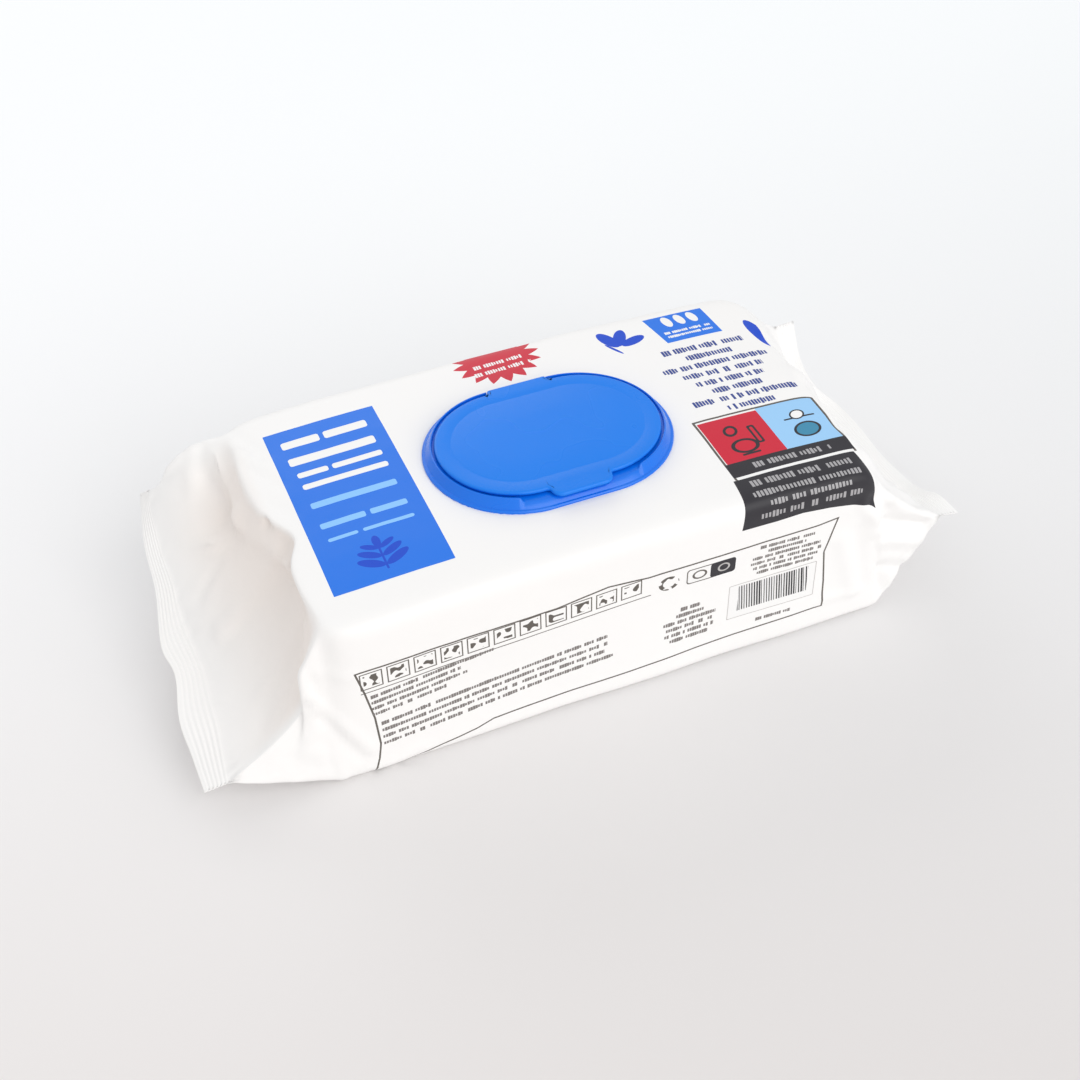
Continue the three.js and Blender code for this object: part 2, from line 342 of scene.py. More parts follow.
def ring_at_end(lines, drop):
    """The film's ring of points part way down one end, from its lines over the top."""
    side = math.copysign(1, lines[0][0][0])
    across = np.array([through(line, [drop])[0] for line in lines])
    over_top = through(across, np.append(top_share, 1))
    seal_front = np.array(lines[0][-1]) - (0, 0, seal_film_gap)
    seal_back = np.array(lines[-1][-1]) - (0, 0, seal_film_gap)
    seal_line = through([line[-1] for line in lines], np.append(under_share, 1))[::-1]
    floor_front = np.array((side * half_length, -half_width, 0))
    floor_back = np.array((side * half_length, half_width, 0))
    low_front = floor_front + (seal_front - floor_front) * drop
    low_back = floor_back + (seal_back - floor_back) * drop
    rise = front_share[:, None]
    up_front = low_front + (over_top[0] - low_front) * rise
    down_back = over_top[-1] + (low_back - over_top[-1]) * rise
    floor_line = floor_back + (floor_front - floor_back) * np.append(under_share, 1)[:, None]
    lifted = seal_line - (0, 0, seal_film_gap)
    under = floor_line + (lifted - floor_line) * drop
    under[:, 2] -= 3.0 * math.sin(math.pi * drop) * np.sin(np.pi * np.append(under_share, 1))
    under[:, 2] = np.maximum(under[:, 2], 0)
    return np.concatenate([up_front, over_top[:-1], down_back, under[:-1]])


def ring_at_seal(lines, outer, reach):
    """The ring of points across a crimped seal: reach is 0 inside and 1 at the cut edge."""
    inner_line = [line[-1] for line in lines]
    over_top = through(inner_line, np.append(top_share, 1)) * (1 - reach)
    over_top += through(outer, np.append(top_share, 1)) * reach
    under = through(inner_line, np.append(under_share, 1)) * (1 - reach)
    under += through(outer, np.append(under_share, 1)) * reach
    gap = np.array((0, 0, seal_film_gap))
    rise = front_share[:, None]
    up_front = over_top[0] - gap * (1 - rise)
    down_back = over_top[-1] - gap * rise
    return np.concatenate([up_front, over_top[:-1], down_back, (under - gap)[::-1][:-1]])


left_edge = ring_at_end(left_end, 0.0)
right_edge = ring_at_end(right_end, 0.0)


def ring_on_stack(share):
    """The ring round the stack: share runs from 0 at the left edge to 1 at the right."""
    x = half_length * (2 * share - 1)
    crown = 2.5 * (2 * share - 1) ** 2
    top_y = half_width * (2 * np.append(top_share, 1) - 1)
    top_z = stack_height - crown - 1.0 * (top_y / half_width) ** 2
    front = [(x, -half_width, top_z[0] * s) for s in front_share]
    top = [(x, y, z) for y, z in zip(top_y[:-1], top_z[:-1])]
    back = [(x, half_width, top_z[-1] * (1 - s)) for s in front_share]
    under = [(x, half_width * (1 - 2 * s), 0) for s in under_share]
    ring = np.array(front + top + back + under)
    plain_edge = half_length * (1 if share > 0.5 else -1)
    edge = right_edge if share > 0.5 else left_edge
    pull = abs(2 * share - 1) ** 5
    ring[:, 0] += (edge[:, 0] - plain_edge) * pull
    ring[:, 1:] += (edge[:, 1:] - ring[:, 1:]) * abs(2 * share - 1) ** 30
    return ring


seal_steps, end_steps, stack_steps = 40, 36, 120
seal_width = 9.5
end_reach = 56.0
rings = []
lengthways = []
for reach in np.linspace(1, 0, seal_steps, endpoint=False):
    rings.append(ring_at_seal(left_end, left_seal, reach))
    lengthways.append(-half_length - end_reach - seal_width * reach)
for drop in np.linspace(1, 0, end_steps, endpoint=False):
    rings.append(ring_at_end(left_end, drop))
    lengthways.append(-half_length - end_reach * drop)
for share in np.linspace(0, 1, stack_steps, endpoint=False):
    rings.append(ring_on_stack(share))
    lengthways.append(half_length * (2 * share - 1))
for drop in np.linspace(0, 1, end_steps, endpoint=False):
    rings.append(ring_at_end(right_end, drop))
    lengthways.append(half_length + end_reach * drop)
for reach in np.linspace(0, 1, seal_steps + 1):
    rings.append(ring_at_seal(right_end, right_seal, reach))
    lengthways.append(half_length + end_reach + seal_width * reach)
film = np.array(rings)
lengthways = np.array(lengthways)
rows = len(film)

# The film can't turn a sharp edge over the soft stack, so its long edges are
# rounded, more on top than underneath, and less and less towards the seals.
softness = np.zeros((rows, columns, 1))
near_top = np.minimum(np.abs(girth), np.abs(girth - 2 * half_width))
past_stack = np.clip((np.abs(lengthways) - half_length) / end_reach, 0, 1)
softness[:, :, 0] = np.outer(1 - past_stack ** 0.7, np.where(near_top < 20, 1.0, 0.35))
for _ in range(14):
    beside = (np.roll(film, 1, axis=1) + np.roll(film, -1, axis=1)) / 2
    film += softness * 0.5 * (beside - film)
for _ in range(2):
    beside = film.copy()
    beside[1:-1] = (film[2:] + film[:-2]) / 2
    film += np.clip(1 - past_stack, 0, 1)[:, None, None] * 0.5 * (beside - film)

flat_u = np.repeat(lengthways[:, None], columns, axis=1)
flat_u[np.abs(lengthways) < half_length] = film[np.abs(lengthways) < half_length, :, 0]


def outward(points):
    along = np.gradient(points, axis=0)
    around = np.roll(points, -1, axis=1) - np.roll(points, 1, axis=1)
    normals = np.cross(around, along)
    size = np.linalg.norm(normals, axis=2, keepdims=True)
    return normals / np.maximum(size, 1e-9)


def from_line(points, start, end):
    """How far each point is from a straight line."""
    start, end = np.array(start, float), np.array(end, float)
    run = end - start
    along = np.clip(((points - start) @ run) / (run @ run), 0, 1)
    return np.linalg.norm(points - start - along[..., None] * run, axis=-1)


# Creases and folds in the film: where each starts and ends, how far it reaches
# to each side, and how high it stands, or how deep it lies if that is below 0.
creases = [
    # the left end: a fold from the stack's edge to the seal, with a hollow beside
    # it, the pinched edge of the stack, and smaller folds
    ((-97, 1, 64), (-122, 2, 30), 3, 3.0),
    ((-97, -6, 58), (-119, -4, 29), 5.5, -3.4),
    ((-94, -8, 60), (-101, -30, 40), 4, 1.4),
    ((-98, -24, 44), (-112, -30, 26), 5, -1.4),
    ((-106, 20, 52), (-122, 12, 30), 4, 1.4),
    ((-102, 44, 60), (-99, 18, 55), 7, -3.0),
    ((-108, 40, 56), (-106, 22, 48), 5, 1.6),
    ((-103, 14, 54), (-116, 26, 38), 4, -1.6),
    ((-99, 18, 55), (-92, -12, 56), 8, -2.4),
    ((-92, -12, 56), (-96, -36, 52), 8, -2.2),
    ((-95, -38, 56), (-99, -46, 44), 5, -1.2),
    ((-110, 51, 62), (-114, 40, 50), 4, -1.0),
    ((-100, 30, 60), (-108, 27, 46), 4, 0.8),
    ((-100, 16, 58), (-112, 22, 42), 4, -0.9),
    # lumps on top, between the stack's left edge and the label
    ((-96, 48, 66), (-90, 30, 68), 4, 0.9),
    ((-97, 37, 66), (-91, 22, 68), 3.5, -0.7),
    ((-96, 28, 66), (-89, 14, 68), 3.5, 0.7),
    ((-95, 8, 66), (-89, -2, 68), 3.5, 0.5),
    # the front of the left end, where the film is tucked in
    ((-104, -50, 50), (-101, -52, 34), 4, -1.2),
    ((-103, -53, 56), (-99, -55, 40), 3.5, 1.3),
    ((-101, -54, 39), (-86, -56, 12), 3.2, -1.0),
    ((-103, -54, 37), (-90, -56, 10), 3.5, 0.8),
    ((-98, -56, 15), (-96, -56, 0), 3, -0.9),
    ((-100, -55, 22), (-97, -56, 4), 3, 0.5),
    ((-101, -52, 50), (-90, -56, 46), 4, -0.5),
    # the front face
    ((78, -56, 40), (86, -56, 14), 5, -1.0),
    ((74, -56, 14), (87, -56, 13), 4, -0.7),
    ((84, -56, 42), (90, -56, 15), 3.5, 0.7),
    ((-70, -56, 6), (-84, -56, 2), 3.5, -0.5),
    # the right end: its front corner first, then its top
    ((92, -56, 53), (97, -55, 45), 3.5, 1.0),
    ((84, -56, 53), (91, -56, 44), 3.5, -0.9),
    ((88, -56, 54), (93, -56, 40), 3, 0.7),
    ((98, -55, 46), (96, -56, 12), 4, 0.9),
    ((104, -54, 44), (107, -54, 32), 3.5, -0.8),
    ((92, -55, 56), (118, -51, 31), 3.5, 0.8),
    ((95, -54, 52), (112, -52, 38), 3, -0.6),
    ((97, -54, 50), (119, -50, 30), 5, -2.2),
    ((96, -55, 40), (114, -51, 30), 4, 2.0),
    ((97, -55, 32), (112, -52, 24), 5, -2.0),
    ((98, -55, 20), (108, -53, 14), 4, 1.4),
    ((90, -56, 48), (97, -55, 22), 5, -1.6),
    ((93, -56, 34), (99, -55, 8), 4, 1.4),
    ((91, -30, 66), (118, -20, 26), 7, 1.8),
    ((91, -44, 62), (117, -38, 28), 6, -1.6),
    ((92, 0, 64), (117, 10, 28), 8, -2.0),
    ((93, 22, 64), (118, 34, 28), 7, 1.8),
]
face_out = outward(film)
lift = np.zeros((rows, columns))
for start, end, width, height in creases:
    away = from_line(film, start, end)
    lift += height * np.clip(1 - away / width, 0, 1) ** 1.4
# Over all that, the film lies in broad soft waves, and is crumpled at the ends.
wave_length, wave_height = 34, 0.5
facet_size = 13
slack = smooth_between(past_stack, 0.0, 0.25) * (1 - smooth_between(past_stack, 0.75, 1.0))
for i in range(rows):
    crumple = 1.6 * (0.1 + 0.5 * slack[i])
    for j in range(columns):
        spot = Vector(film[i, j])
        nearest, second = noise.voronoi(spot / facet_size + Vector((4.1, 0, 0)))[0][:2]
        lift[i, j] += wave_height * noise.noise(spot / wave_length)
        lift[i, j] += crumple * (min(second - nearest, 0.6) - 0.3)
near_seal = np.clip((past_stack - 0.85) / 0.15, 0, 1)
lift *= 1 - near_seal[:, None]
# Round the lid the film is stretched smooth.
beyond_straight = np.maximum(np.abs(film[..., 0] - lid_centre[0]) - lid_straight, 0)
from_lid = np.hypot(beyond_straight, film[..., 1] - lid_centre[1]) - lid_radius
lift *= smooth_between(from_lid, 1, 12)
film += face_out * lift[:, :, None]

# The crimping leaves fine ribs along each seal, and small puckers where it ends.
into_seal = (np.abs(lengthways) - half_length - end_reach) / seal_width
rib_count, rib_height = 6.5, 0.17
ribs = rib_height * np.sin(into_seal * rib_count * 2 * np.pi) * smooth_between(into_seal, 0.04, 0.1)
ribs *= 1 - smooth_between(into_seal, 0.86, 0.93)
upper_side = (girth > -8) & (girth < 2 * half_width + 8)
rib_depth = np.array([0.75 + 0.8 * noise.noise(Vector((g * 0.045, 3.3, 0))) for g in girth])
film += face_out * (ribs[:, None] * np.where(upper_side, 1, -1) * rib_depth)[:, :, None]
pucker_place = np.exp(-((into_seal + 0.12) / 0.22) ** 2)
pucker_wave = [[noise.noise(Vector((g * 0.32, side, 0))) for g in girth] for side in (1, 7)]
pucker_wave = np.array(pucker_wave)[(lengthways > 0).astype(int)]
pucker_height = 1.1
film += face_out * (pucker_place[:, None] * pucker_wave * pucker_height)[:, :, None]

# The lid presses the soft top down to a flat, and the film rises round it.
on_top = film[..., 2] > stack_height / 2
pressed = film_under_lid + (film[..., 2] - film_under_lid) * smooth_between(from_lid, -3.2, -0.2)
film[..., 2] = np.where(on_top & (from_lid < 0), pressed, film[..., 2])
film[..., 2] = np.maximum(film[..., 2], 0)

film_mesh = bpy.data.meshes.new("film_pack_skin")
film_faces = []
for i in range(rows - 1):
    for j in range(columns):
        k = (j + 1) % columns
        here, beyond = i * columns, (i + 1) * columns
        film_faces.append((here + j, here + k, beyond + k, beyond + j))
film_mesh.from_pydata((film.reshape(-1, 3) * MM).tolist(), [], film_faces)
film_layer = film_mesh.uv_layers.new(name="film")
around = np.append(girth, girth_end)
corner_uv = []
for i in range(rows - 1):
    for j in range(columns):
        for row, column in ((i, j), (i, j + 1), (i + 1, j + 1), (i + 1, j)):
            corner_uv += (flat_u[row, column % columns] * MM, around[column] * MM)
film_layer.data.foreach_set("uv", corner_uv)
film_mesh.shade_smooth()
film_mesh.update()

# The print lies in flat millimetres on the film: u runs along the pack from its
# middle, v round it from the top's front edge, up over the top and down the front.
film_finish = Finish("printed_film", Roughness=0.42, IOR=1.45)
flat = film_finish.node("ShaderNodeUVMap", {"uv_map": "film"})
u, v, _ = film_finish.split(flat)
u, v = u / MM, v / MM


def block(left, right, low, high, corner=0.3, lean=0.0):
    """A solid field with rounded corners; lean slopes it up to the right."""
    across = abs(u - (left + right) / 2) - ((right - left) / 2 - corner)
    up = abs(v - (u - left) * lean - (low + high) / 2) - ((high - low) / 2 - corner)
    outside_u, outside_v = across.math("MAXIMUM", 0.0), up.math("MAXIMUM", 0.0)
    return (outside_u ** 2 + outside_v ** 2).math("SQRT") < corner


def oval(centre_u, centre_v, reach_u, reach_v, turn=0.0):
    """0 in the middle of an oval, 1 on its outline, and more beyond it."""
    cosine, sine = math.cos(math.radians(turn)), math.sin(math.radians(turn))
    du, dv = u - centre_u, v - centre_v
    along = (du * cosine + dv * sine) / reach_u
    beside = (dv * cosine - du * sine) / reach_v
    return (along ** 2 + beside ** 2).math("SQRT")


def curve(field, points):
    """A value that follows the points as the field runs through their first numbers."""
    first, last = points[0][0], points[-1][0]
    low, high = min(p[1] for p in points), max(p[1] for p in points)
    stops = [((p[0] - first) / (last - first), (p[1] - low) / (high - low)) for p in points]
    share = (field - first) / (last - first)
    return film_finish.node("ShaderNodeValToRGB", {"stops": stops}, (share,)) * (high - low) + low


def chance_of(code):
    """A fixed made-up value from 0 to 1 for each code."""
    return film_finish.node("ShaderNodeTexWhiteNoise", {"noise_dimensions": "1D"}, {"W": code})


def dashes(left, top, pitch, widths, height, letter, lean=0.0, centred=False, fill=0.7):
    """Made-up small print: one row of dashes for each width, the first one on top."""
    down = (top - v + (u - left) * lean) / pitch
    row = down.math("FLOOR")
    longest = max(widths)
    stops = [(i / len(widths), width / longest) for i, width in enumerate(widths)]
    settings = {"stops": stops, "interpolation": "CONSTANT"}
    share = (row + 0.5) / len(widths)
    reach = film_finish.node("ShaderNodeValToRGB", settings, (share,)) * longest
    start = reach * -0.5 + left if centred else left
    place = (u - start) / letter
    chance = chance_of(place.math("FLOOR") + row * 37.0 + 0.5)
    in_letter = place.math("FRACT") < (chance * 0.25 + fill) * (chance > 0.13)
    in_row = abs(down - row - 0.5) < (chance * 0.5 + 0.65) * (height / pitch / 2)
    in_text = (u > start) * (u < reach + start) * down.between(0.0, float(len(widths)))
    return in_letter * in_row * in_text


print_layers = []


def print_over(colour, *masks):
    print_layers.extend((mask, colour) for mask in masks)


white = srgb(247, 246, 245)
label_blue, deep_blue, navy = srgb(26, 118, 232), srgb(0, 72, 205), srgb(52, 72, 145)
red, pale_blue, ink = srgb(208, 30, 56), srgb(158, 207, 248), srgb(44, 42, 48)
grey_ink = srgb(96, 90, 84)
sheen_tone = film_finish.grain(9.0, detail=1.0)
printed = film_finish.mix(sheen_tone, srgb(248, 246, 244), srgb(250, 249, 248))
# Painted shade: the film is painted a little warmer and darker where it hangs clear of the white
# wipes at the left end.
painted_end_shade = u.ramp(-94.0, -104.0) * u.ramp(-158.0, -118.0) * v.ramp(0.0, 9.0) * v.ramp(108.0, 80.0)
printed = film_finish.mix(painted_end_shade, printed, srgb(245, 237, 231))

# The tall label on the left, with rows of bars and a sprig of leaves.
print_over(label_blue, block(-87.7, -49.6, 14.8, 96.0))
for left, right, low, high in (
    (-83.4, -70.6, 86.0, 89.8), (-69.0, -54.2, 86.0, 89.8), (-83.4, -54.2, 76.6, 80.6),
    (-82.6, -72.4, 69.8, 72.4), (-71.0, -54.2, 69.8, 72.4), (-82.6, -54.2, 63.6, 66.2),
):
    print_over(white, block(left, right, low, high, 0.9))
for left, right, low, high in (
    (-82.8, -54.6, 53.8, 56.6), (-82.8, -68.2, 43.6, 46.2), (-66.6, -54.6, 43.6, 46.2),
    (-82.4, -72.8, 37.2, 38.7), (-71.2, -54.6, 37.2, 38.7),
):
    print_over(srgb(140, 200, 255), block(left, right, low, high, 0.7))
print_over(deep_blue, block(-69.6, -68.9, 19.0, 31.0), oval(-69.2, 31.4, 1.3, 2.6) < 1.0)
for side in (-1, 1):
    for rise, reach in ((21.6, 4.4), (25.4, 3.8), (28.8, 2.9)):
        leaf = oval(-69.2 + side * reach * 0.95, rise + reach * 0.32, reach, reach * 0.36, side * 28)
        print_over(deep_blue, leaf < 1.0)

# The starburst that runs over the back edge, and the marks beside it.
burst = oval(-2.0, 103.2, 15.9, 14.6)
burst_angle = film_finish.node(
    "ShaderNodeMath", {"operation": "ARCTAN2"}, ((v - 103.2) / 14.6, (u + 2.0) / 15.9)
)
spikes = abs((burst_angle * (16 / math.tau)).math("FRACT") - 0.5) * 2.0
print_over(red, burst < spikes * 0.27 + 0.73)
print_over(
    white,
    dashes(-1.6, 103.2, 3.6, [19], 1.9, 0.95, centred=True, lean=0.03, fill=0.55),
    dashes(-1.6, 98.9, 3.6, [21], 2.0, 0.95, centred=True, lean=0.03, fill=0.55),
)
print_over(
    deep_blue,
    oval(38.2, 97.6, 5.4, 2.5, 112) < 1.0,
    oval(42.6, 97.4, 5.2, 2.3, 62) < 1.0,
    oval(46.4, 94.2, 5.0, 2.1, 18) < 1.0,
    oval(38.0, 91.8, 4.2, 0.55, -62) < 1.0,
    oval(90.1, 84.3, 2.5, 8.8, 4) < 1.0,
)
tag_side = abs(u - 67.9 + (v - 88.0) * 0.09) < 10.8 + (v - 88.0) * 0.05
print_over(label_blue, tag_side * v.between(88.0, 104.6))
print_over(
    white,
    *(oval(centre, 100.4, 1.7, 3.3, 8) < 1.0 for centre in (62.6, 67.6, 72.6)),
    dashes(67.6, 95.0, 2.5, [18, 17.5], 1.3, 0.75, centred=True),
)

# Eight centred rows of small print over the panel on the right.
small_widths = [31, 17.6, 40, 30, 25.4, 18.6, 38, 17.8]
print_over(
    navy, dashes(67.6, 84.8, 5.19, small_widths, 2.8, 1.1, lean=-0.02, centred=True, fill=0.6)
)

# The panel: a red and a pale field with plain marks, over dark rows that run
# down the front, where their lower edge is wavy.
print_over(grey_ink, block(43.5, 87.9, 12.2, 43.2))
print_over(white, block(44.3, 87.1, 12.2, 42.4))
print_over(red, block(44.6, 66.5, 20.0, 41.6))
print_over(pale_blue, block(66.5, 87.1, 20.0, 42.4))
print_over(ink, block(43.5, 87.9, 13.4, 20.0))
foot = curve(u, [(41.0, -9.8), (52, -10), (62, -9.7), (72, -10.8), (80, -12.2), (90, -14.2)])
spread = (12.0 - v) * 0.12
print_over(ink, (u > 42.6 - spread) * (u < spread + 86.6) * (v < 12.2) * (v > foot))
print_over(
    ink,
    abs(oval(53.3, 34.6, 2.9, 2.4, 50) - 0.8) < 0.2,
    abs(oval(54.6, 26.4, 4.9, 3.5) - 0.86) < 0.14,
    block(59.2, 61.9, 26.0, 35.2, 0.8) - block(60.0, 61.1, 26.8, 34.4, 0.5),
    block(51.6, 58.2, 22.0, 22.9),
    block(72.8, 84.2, 33.2, 33.9),
)
print_over(white, oval(78.4, 35.0, 2.6, 2.0, 25) < 1.0)
print_over(srgb(60, 140, 175), oval(78.2, 27.2, 4.9, 3.6, 12) < 1.0)
print_over(
    ink,
    abs(oval(78.2, 27.2, 4.9, 3.6, 12) - 0.92) < 0.1,
    abs(oval(78.4, 35.0, 2.6, 2.0, 25) - 1.0) < 0.13,
)
print_over(
    srgb(172, 170, 172),
    dashes(66.4, 18.8, 4.2, [28], 2.3, 1.3, lean=-0.01, centred=True, fill=0.5),
    dashes(65.2, 11.2, 5.0, [36, 39, 30, 37], 2.5, 1.3, lean=-0.02, centred=True, fill=0.5),
)

# The front: a thin frame line with a row of small signs, rows of small print,
# a tag, and a box of stripes.
top_line = curve(
    u, [(-88, -19.6), (-23.3, -18.9), (-5.8, -16.8), (8.3, -18.3), (68.9, -17.5), (76.2, -16.5)]
)
low_line = curve(
    u, [(-86, -68.1), (-79, -69.3), (-74.7, -66.8), (-51.4, -62.6), (-45.6, -60.5), (73.9, -56.9)]
)
left_line = curve(
    v, [(-68.1, -85.9), (-61.2, -84.1), (-54.2, -83.1), (-41.8, -83.8), (-29.3, -85.9), (-19.6, -88)]
)
right_line = curve(v, [(-57, 73.9), (-44.5, 73.4), (-30.7, 72.1), (-16.5, 76.0)])
between_lines = (u > left_line - 0.25) * (u < right_line + 0.25)
between_lines = between_lines * (v < top_line + 0.25) * (v > low_line - 0.25)
to_frame_line = abs(v - top_line).math("MINIMUM", abs(v - low_line))
to_frame_line = to_frame_line.math("MINIMUM", abs(u - left_line))
to_frame_line = to_frame_line.math("MINIMUM", abs(u - right_line))
print_over(grey_ink, between_lines * (to_frame_line < 0.38))

sign_rise = (u + 87.0) * 0.031 - 24.3
sign_pitch, sign_count = 8.54, 11.0
sign_place = (u + 87.2) / sign_pitch
sign_in = sign_place.between(0.0, sign_count)
sign_u = abs(sign_place.math("FRACT") - 0.46) * sign_pitch
sign_v = abs(v - sign_rise)
sign_edge = sign_u.math("MAXIMUM", sign_v + (u + 87.0) * 0.006)
sign_grain = film_finish.grain(420.0, detail=0.0, where=flat)
print_over(
    grey_ink,
    sign_in * sign_edge.between(3.2, 3.6),
    sign_in * (sign_edge < 2.5) * (sign_grain > 0.54),
    u.between(-87.0, 9.0) * (abs(sign_rise - 5.0 - v) < 0.18),
)
soft_ink = srgb(122, 116, 113)
print_over(
    soft_ink,
    dashes(-84.2, -30.6, 2.7, [40, 29, 31, 24], 1.4, 0.8, lean=0.1),
    dashes(-82.0, -43.6, 3.2, [76, 76, 75, 78], 1.5, 0.85, lean=0.085),
    dashes(23.4, -36.0, 2.75, [7, 10, 19, 17, 18, 14], 1.6, 0.85, centred=True),
    dashes(57.6, -19.2, 2.25, [20, 14, 25, 26, 24, 21], 1.3, 0.75, lean=-0.03, centred=True),
    dashes(55.0, -52.4, 2.6, [13], 1.4, 0.8, centred=True),
)
broken_ring = (abs(oval(15.2, -23.6, 3.6, 2.9) - 0.8) < 0.2) * (sign_grain > 0.42)
print_over(grey_ink, broken_ring, block(21.4, 38.8, -26.8, -20.4, 1.2))
print_over(white, block(21.8, 31.0, -26.4, -20.8, 1.0))
print_over(ink, block(29.8, 38.8, -26.8, -20.4, 1.2))
print_over(grey_ink, abs(oval(26.0, -23.6, 2.6, 1.9) - 0.85) < 0.15)
print_over(srgb(190, 188, 186), abs(oval(34.6, -23.6, 2.2, 1.8) - 0.85) < 0.15)

print_over(srgb(196, 192, 190), block(37.4, 69.8, -49.8, -34.0))
print_over(white, block(37.7, 69.5, -49.5, -34.3))
stripe_place = (u + (v + 42.0) * 0.07) / 0.92
stripe_width = chance_of(stripe_place.math("FLOOR") + 0.5) * 0.5 + 0.26
stripes = stripe_place.math("FRACT") < stripe_width
print_over(ink, block(41.0, 66.8, -46.6, -35.2, 0.1) * stripes)

for mask, colour in print_layers:
    printed = film_finish.mix(mask, printed, colour)
film_finish.set("Base Color", printed)
film_skin = add_piece("film_pack_skin", film_mesh, film_finish.material)
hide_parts("film_pack")
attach(film_skin, "pack")

# ------------------------------------------------------------------ lid frame
# The moulded polypropylene ring that is glued to the film: a thin flange, a
# slope up to a crest round the cover, and a ledge and a well inside the crest.
# The crest is cut down at the front, to let a finger under the cover's tab.


def rounded_path(corners, steps=4):
    """Points along a path whose corners, given as (x, y, radius), are rounded."""
    path = []
    for i, (x, y, radius) in enumerate(corners):
        here = np.array((x, y), float)
        if radius == 0 or i in (0, len(corners) - 1):
            path.append(here)
            continue
        to_last = np.array(corners[i - 1][:2]) - here
        to_next = np.array(corners[i + 1][:2]) - here
        to_last, to_next = to_last / np.linalg.norm(to_last), to_next / np.linalg.norm(to_next)
        half_angle = math.acos(np.clip(to_last @ to_next, -1, 1)) / 2
        reach = radius / math.tan(half_angle)
        middle = (to_last + to_next) / np.linalg.norm(to_last + to_next)
        centre = here + middle * radius / math.sin(half_angle)
        start = here + to_last * reach - centre
        turn = math.pi - 2 * half_angle
        if start[0] * (here - centre)[1] - start[1] * (here - centre)[0] < 0:
            turn = -turn
        for k in range(steps + 1):
            a = turn * k / steps
            spin = np.array(((math.cos(a), -math.sin(a)), (math.sin(a), math.cos(a))))
            path.append(centre + spin @ start)
    return path


def lid_outline(half_straight, per_turn, per_straight):
    """(point on the lid's middle line, direction outwards) pairs round a long oval."""
    pairs = []
    for side in (1, -1):
        for k in range(per_turn):
            a = -math.pi / 2 + math.pi * k / per_turn + (0 if side > 0 else math.pi)
            pairs.append((side * half_straight, 0, math.cos(a), math.sin(a)))
        for k in range(per_straight):
            x = side * half_straight * (1 - 2 * k / per_straight)
            pairs.append((x, 0, 0, side))
    return np.array(pairs)


# The frame's section, as (distance from the middle line, height, corner radius).
frame_profile = rounded_path([
    (31.0, 66.9, 0), (31.0, 68.8, 0.12), (30.6, 69.15, 0.15), (30.05, 69.2, 0.3),
    (28.35, 72.15, 0.25), (28.05, 72.4, 0.12), (27.8, 72.25, 0.1), (27.75, 71.2, 0.15),
    (21.6, 71.2, 0.25), (21.5, 66.9, 0),
])
frame_outline = lid_outline(lid_straight, 180, 96)
finger_floor, hinge_floor = 71.0, 71.15
frame_rings = []
for radius, height in frame_profile:
    x = frame_outline[:, 0] + frame_outline[:, 2] * radius
    y = frame_outline[:, 3] * radius
    z = np.full_like(x, height)
    finger_space = smooth_between(abs(x), 20.5, 19.5) * smooth_between(-y, 23.3, 23.9)
    z -= finger_space * np.maximum(z - finger_floor + 0.5 * smooth_between(-y, 27, 30), 0)
    hinge_space = smooth_between(abs(x), 10.68, 10.45) * smooth_between(y, 27.0, 27.4)
    z -= hinge_space * np.maximum(z - hinge_floor, 0)
    frame_rings.append(np.stack([x + lid_centre[0], y + lid_centre[1], z], axis=1))


def mesh_of_rings(name, rings, cap_first=False, cap_last=False):
    """A mesh through closed rings of equal length, with flat caps if asked for."""
    count = len(rings[0])
    faces = []
    for i in range(len(rings) - 1):
        for j in range(count):
            k = (j + 1) % count
            a, b = i * count, (i + 1) * count
            faces.append((a + j, a + k, b + k, b + j))
    if cap_first:
        faces.append(tuple(range(count - 1, -1, -1)))
    if cap_last:
        last = (len(rings) - 1) * count
        faces.append(tuple(range(last, last + count)))
    mesh = bpy.data.meshes.new(name)
    mesh.from_pydata((np.concatenate(rings) * MM).tolist(), [], faces)
    mesh.update()
    mesh.shade_smooth()
    return mesh


def lid_plastic(name, tone, shine):
    """Blue polypropylene with a fine moulded grain and a soft shine."""
    finish = Finish(name, Specular_IOR_Level=shine)
    cloud = finish.grain(30.0, detail=2.0)
    finish.set("Base Color", finish.mix(cloud, tone, tuple(c * 1.06 for c in tone)))
    finish.set("Roughness", cloud * 0.1 + 0.22)
    finish.bump(finish.grain(1400.0, detail=1.0), 0.00004, strength=0.5)
    return finish.material


frame_plastic = lid_plastic("frame_plastic", srgb(4, 114, 230), 0.5)
frame_skin = add_piece("lid_frame_skin", mesh_of_rings("lid_frame_skin", frame_rings), frame_plastic)
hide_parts("lid_frame")
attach(frame_skin, "pack")

# The small wall behind the ledge that carries the hinge.
wall_mesh = bpy.data.meshes.new("hinge_wall")
wall_form = bmesh.new()
bmesh.ops.create_cube(wall_form, size=1)
bmesh.ops.scale(wall_form, vec=(21.2 * MM, 1.3 * MM, 4.1 * MM), verts=wall_form.verts)
bmesh.ops.bevel(wall_form, geom=wall_form.edges, offset=0.2 * MM, segments=2, affect="EDGES")
wall_centre = Vector((lid_centre[0], lid_centre[1] + 27.65, 69.1)) * MM
bmesh.ops.translate(wall_form, vec=wall_centre, verts=wall_form.verts)
wall_form.to_mesh(wall_mesh)
wall_form.free()
wall = add_piece("hinge_wall", wall_mesh, frame_plastic)
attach(wall, "pack")

# ------------------------------------------------------------------ lid cover
# The flat polypropylene cover that snaps into the frame: a rounded edge, a thumb
# tab at the front, a hinge strip at the back, a faint oval line pressed into
# the top, and a bead underneath that closes the well.

cover_low, cover_high = (np.array(corner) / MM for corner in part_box("lid_cover"))
cover_radius = 26.0
cover_straight = 11.6
tab_reach = lid_centre[1] - cover_low[1]
strip_reach = cover_high[1] - lid_centre[1]
cover_top, cover_base = 73.0, 71.6


